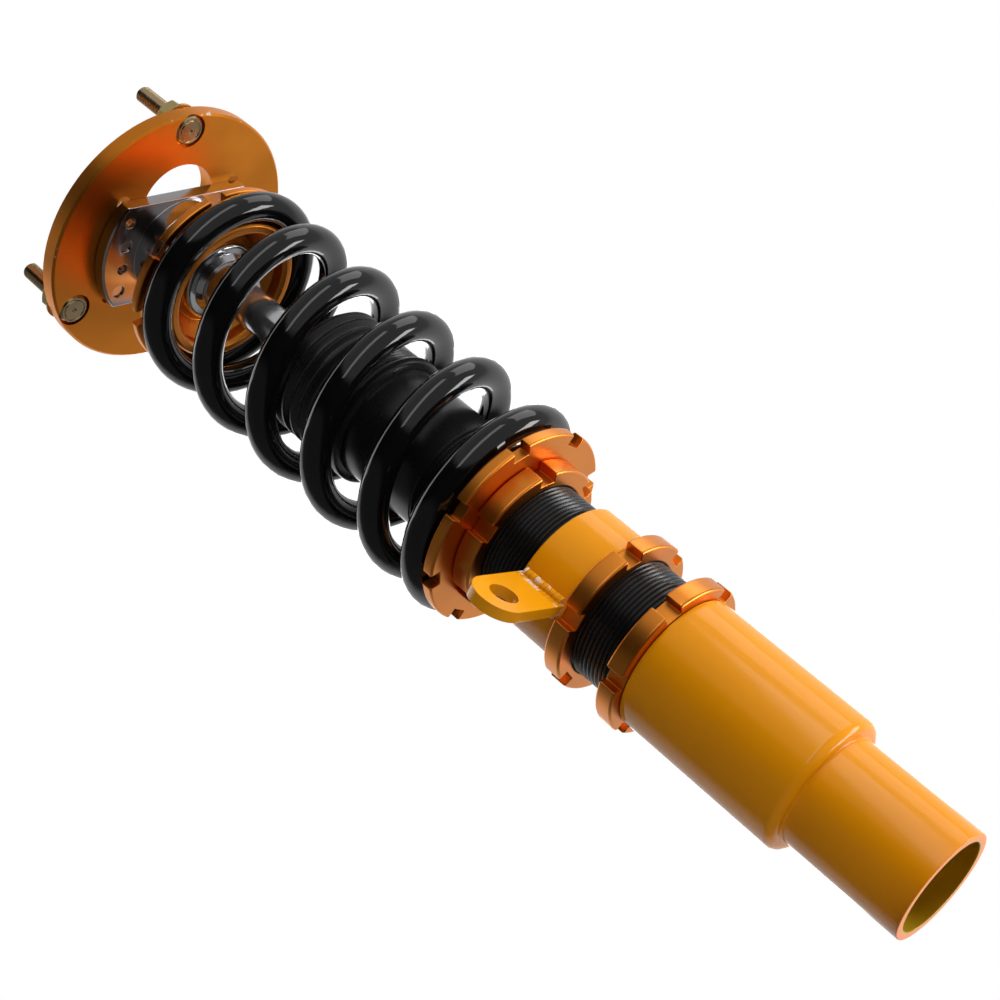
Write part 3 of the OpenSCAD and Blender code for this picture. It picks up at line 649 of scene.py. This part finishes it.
for ridge in range(ridge_count):
    ridge_low = boot_low + ridge_first + ridge * ridge_pitch
    outline += [(ridge_root, ridge_low), (ridge_crest, ridge_low + 0.0004),
                (ridge_crest, ridge_low + 0.0009), (ridge_root, ridge_low + 0.0013)]
outline += [(0.0294, boot_low + 0.0140), (boot_radius, boot_low + 0.0200)]
rib_count, rib_pitch, lip = 4, 0.0055, 0.0015
rib_shape = ((0.0, 0.0282), (0.12, 0.0285), (0.28, 0.0299), (0.42, 0.0305),
             (0.58, 0.0305), (0.72, 0.0299), (0.88, 0.0285))
rib_base = boot_high - lip - rib_count * rib_pitch
for rib in range(rib_count):
    for share_up, reach_out in rib_shape:
        outline.append((reach_out, rib_base + (rib + share_up) * rib_pitch))
outline += [(0.0282, boot_high - lip), (0.0278, boot_high - 0.0005), (0.0268, boot_high),
            (0.0130, boot_high), (rod_gap, boot_high - 0.0005),
            (rod_gap, boot_high - wall + 0.0003), (0.0128, boot_high - wall),
            (0.0255, boot_high - wall), (0.0262, boot_high - 0.006),
            (boot_bore, boot_low + 0.0100), (boot_bore, boot_low)]
boot = spun("rubber_boot", outline, steps=128)
bpy.ops.object.shade_smooth()
paint_over(boot, boot_rubber)
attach(boot, "damper")
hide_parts("dust_boot")


# --- Piston rod, bell washer, collar, ball and nut ---------------------------------------
# Hard-chromed rod, polished steel bell washer and bearing parts, and a chromed
# self-locking nut with a nylon ring.
hard_chrome = finish_material("hard_chrome", (0.76, 0.77, 0.80), (0.72, 0.73, 0.76), 0.92,
                              0.11, 0.15, smudge_size=40)
polished_steel = finish_material("polished_steel", (0.66, 0.66, 0.67), (0.60, 0.60, 0.61), 1.0,
                                 0.10, 0.18, smudge_size=50, ring_spacing=3200,
                                 ring_depth=0.000003)
nylon = finish_material("nylon", (0.05, 0.09, 0.24), (0.04, 0.08, 0.20), 0.0,
                        0.35, 0.5, grain_size=900, grain_depth=0.00003)
put_machined("piston_rod", hard_chrome, 0.0003)
put_machined("top_nut", hard_chrome, 0.0004)
for part_name in ("bump_washer", "bearing_collar", "upper_spacer"):
    put_machined(part_name, polished_steel, 0.0003)
paint_over(nodes["bearing_ball"], polished_steel)
paint_over(nodes["nut_insert"], nylon)


# --- Slider with its bearing -----------------------------------------------------------------
# Bright machined aluminium slider under the plate, with the bearing's race,
# liner and retaining ring pressed into it.
bright_alloy = finish_material("bright_alloy", (0.52, 0.51, 0.52), (0.45, 0.44, 0.45), 1.0,
                               0.12, 0.18, smudge_size=35, ring_spacing=1800,
                               ring_depth=0.00001)
plain_steel = finish_material("plain_steel", (0.42, 0.42, 0.43), (0.36, 0.36, 0.37), 1.0,
                              0.28, 0.42, ring_spacing=2500, ring_depth=0.00002)
woven_liner = finish_material("woven_liner", (0.22, 0.18, 0.14), (0.16, 0.13, 0.10), 0.0,
                              0.6, 0.8, grain_size=2500, grain_depth=0.0001)
put_machined("camber_slider", bright_alloy, 0.0004)
put_machined("bearing_race", polished_steel, 0.0003)
put_machined("retaining_ring", plain_steel, 0.0002)
paint_over(nodes["bearing_liner"], woven_liner)


# --- Slot screws and washers ---------------------------------------------------------------
# Zinc-plated socket cap screws, on split lock washers and flat washers, clamp
# the plate down on the slider. A band of knurling is rolled into each head.
bright_zinc = finish_material("bright_zinc", (0.66, 0.68, 0.71), (0.58, 0.60, 0.63), 1.0,
                              0.16, 0.30, smudge_size=120, grain_size=1500,
                              grain_depth=0.00002)
put_machined("slot_screws", bright_zinc, 0.0003)
put_machined("slot_washers", bright_zinc, 0.0002)
screw_columns, screw_rows = (-0.0308, 0.0308), (-0.018, 0.006)
knurl_low, knurl_high = 0.4695, 0.4731
knurl_crest, knurl_root, knurl_teeth = 0.00515, 0.00495, 36


def joined(pieces, name):
    bpy.ops.object.select_all(action="DESELECT")
    for piece in pieces:
        piece.select_set(True)
    bpy.context.view_layer.objects.active = pieces[0]
    bpy.ops.object.join()
    pieces[0].name = name
    return pieces[0]


def repeated(pattern, places, name):
    """Copies of one piece at each place, joined; the pattern itself is removed."""
    copies = []
    for place in places:
        copy = pattern.copy()
        copy.data = pattern.data.copy()
        scene.collection.objects.link(copy)
        copy.data.transform(place)
        copies.append(copy)
    bpy.data.objects.remove(pattern)
    return joined(copies, name)


bpy.ops.object.select_all(action="DESELECT")
bpy.ops.mesh.primitive_circle_add(vertices=2 * knurl_teeth, radius=knurl_crest, fill_type="NGON")
one_knurl = bpy.context.object
for vertex in one_knurl.data.vertices:
    if vertex.index % 2:
        vertex.co *= knurl_root / knurl_crest
    vertex.co.z = knurl_low
edit_all()
band_height = (0, 0, knurl_high - knurl_low)
bpy.ops.mesh.extrude_region_move(TRANSFORM_OT_translate={"value": band_height})
bpy.ops.mesh.select_all(action="SELECT")
bpy.ops.mesh.normals_make_consistent(inside=False)
bpy.ops.object.mode_set(mode="OBJECT")
screw_places = [Matrix.Translation((x, y, 0)) for x in screw_columns for y in screw_rows]
knurled_heads = repeated(one_knurl, screw_places, "knurled_heads")
paint_over(knurled_heads, bright_zinc)
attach(knurled_heads, body_of_node("slot_screws"))


# --- Studs and flange nuts -----------------------------------------------------------------
# Flat-headed studs with a rolled thread, pressed through the plate, and
# serrated flange nuts, both in yellow zinc. The studs' zinc is the more coppery.
yellow_zinc = finish_material("yellow_zinc", (0.62, 0.47, 0.16), (0.52, 0.42, 0.24), 1.0,
                              0.20, 0.34, smudge_size=90, grain_size=1200,
                              grain_depth=0.00003)
stud_zinc = finish_material("stud_zinc", (0.64, 0.44, 0.27), (0.46, 0.38, 0.19), 1.0,
                            0.18, 0.30, smudge_size=110, grain_size=1200,
                            grain_depth=0.00001)
put_machined("flange_nuts", yellow_zinc, 0.0004)
stud_low, stud_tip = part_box("stud_bolts")[0][2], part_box("stud_bolts")[1][2]
stud_circle, stud_angles = 0.056, (90, 210, 330)
stud_pitch, stud_crest, stud_root = 0.00125, 0.0039, 0.0034
head_radius, shank_radius, tip_radius = 0.0072, 0.0042, 0.0028
head_top, thread_from = stud_low + 0.0028, 0.4736
groove_depth, head_chamfer = 0.0004, 0.0008
thread_start, thread_end = thread_from - 0.0001, stud_tip - 0.0009
shank = spun("stud_shank", [
    (0, stud_low + 0.0006), (0.0006, stud_low + 0.0006), (0.0012, stud_low),
    (0.0048, stud_low), (0.0051, stud_low + groove_depth), (0.0054, stud_low + groove_depth),
    (0.0057, stud_low), (head_radius - head_chamfer, stud_low),
    (head_radius, stud_low + head_chamfer), (head_radius, head_top), (shank_radius, head_top),
    (shank_radius, thread_from), (0, thread_from)], steps=48)
stud_shape = ((stud_root, 1), (stud_crest, 0.58), (stud_crest, 0.42), (stud_root, 0))
section = [(radius, 0, thread_from - share * stud_pitch) for radius, share in stud_shape]
stud_turns = int((stud_tip - thread_from) / stud_pitch) + 2
stud_thread = cut_thread("stud_thread", section, stud_pitch, stud_turns, 32,
                         thread_start, thread_end)
bpy.ops.object.shade_smooth_by_angle(angle=thread_smooth)
stud_end = spun("stud_end", [
    (0, stud_tip - 0.0012), (stud_root, stud_tip - 0.0012), (stud_root, stud_tip - 0.0006),
    (tip_radius, stud_tip), (0, stud_tip)], steps=48)
one_stud = joined([shank, stud_thread, stud_end], "one_stud")
to_circle = Matrix.Translation((stud_circle, 0, 0))
stud_places = [Matrix.Rotation(math.radians(angle), 4, "Z") @ to_circle for angle in stud_angles]
threaded_studs = repeated(one_stud, stud_places, "threaded_studs")
paint_over(threaded_studs, stud_zinc)
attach(threaded_studs, body_of_node("stud_bolts"))
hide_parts("stud_bolts")


# --- Inner damper parts --------------------------------------------------------------------
# Turned alloy guide, pistons and cap, steel shims and nut, rubber seals and a
# foam bump stop, all inside the body or the boot.
machined_alloy = finish_material("machined_alloy", (0.62, 0.62, 0.63), (0.56, 0.56, 0.57), 1.0,
                                 0.26, 0.38, ring_spacing=2000, ring_depth=0.00003)
seal_rubber = finish_material("seal_rubber", (0.020, 0.020, 0.020), (0.028, 0.028, 0.028), 0.0,
                              0.5, 0.65, grain_size=900, grain_depth=0.00003)
bump_foam = finish_material("bump_foam", (0.58, 0.43, 0.16), (0.50, 0.36, 0.12), 0.0,
                            0.7, 0.85, grain_size=1800, grain_depth=0.0001)
for part_name in ("base_cap", "floating_piston", "rod_guide", "piston"):
    paint_over(nodes[part_name], machined_alloy)
for part_name in ("valve_shims", "piston_nut"):
    paint_over(nodes[part_name], plain_steel)
for part_name in ("rod_seal", "rebound_stop"):
    paint_over(nodes[part_name], seal_rubber)
paint_over(nodes["bump_stop"], bump_foam)
paint_over(nodes["gland_nut"], black_steel)
